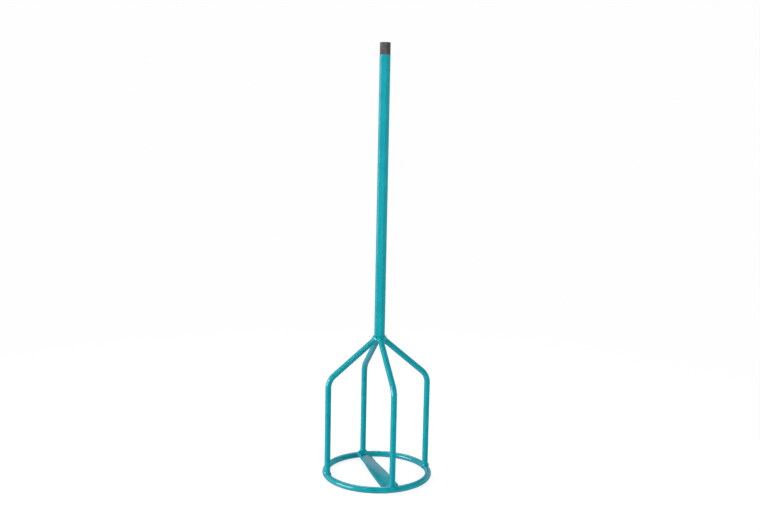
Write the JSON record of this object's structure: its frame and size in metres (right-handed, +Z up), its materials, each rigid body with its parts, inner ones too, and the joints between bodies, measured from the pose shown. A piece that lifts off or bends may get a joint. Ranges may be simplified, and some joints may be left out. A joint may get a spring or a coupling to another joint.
{
  "type": "mortar mixing paddle",
  "caption": "Drill-driven mortar mixing paddle: hex shaft, welded cage of bent rods on a ring, and a pitched flat blade across the ring.",
  "frame": {"origin": "on the shaft's axis, at the underside of the ring", "axes": "+Z up along the shaft towards the chuck end; -Y towards the front rod and +X towards the right rod; the blade runs along Y"},
  "size_m": [0.1222, 0.1222, 0.4666],
  "materials": {
    "shaft_coat": "glossy powder coating over a steel hexagon, bare dark steel at the chuck end",
    "cage_coat": "glossy powder coating over round steel bar",
    "blade_coat": "glossy powder coating over flat steel bar",
    "weld_coat": "glossy powder coating over rough weld beads"
  },
  "bodies": {
    "root": {"drive_shaft": "shaft_coat", "cage_rod_front": "cage_coat", "cage_rod_right": "cage_coat", "cage_rod_back": "cage_coat", "cage_rod_left": "cage_coat", "bottom_ring": "cage_coat", "mixing_blade": "blade_coat", "hub_weld_front": "weld_coat", "hub_weld_right": "weld_coat", "hub_weld_back": "weld_coat", "hub_weld_left": "weld_coat", "foot_weld_front": "weld_coat", "foot_weld_right": "weld_coat", "foot_weld_back": "weld_coat", "foot_weld_left": "weld_coat", "blade_weld_front_upper": "weld_coat", "blade_weld_front_lower": "weld_coat", "blade_weld_back_upper": "weld_coat", "blade_weld_back_lower": "weld_coat", "ring_seam_weld": "weld_coat"}
  },
  "joints": []
}
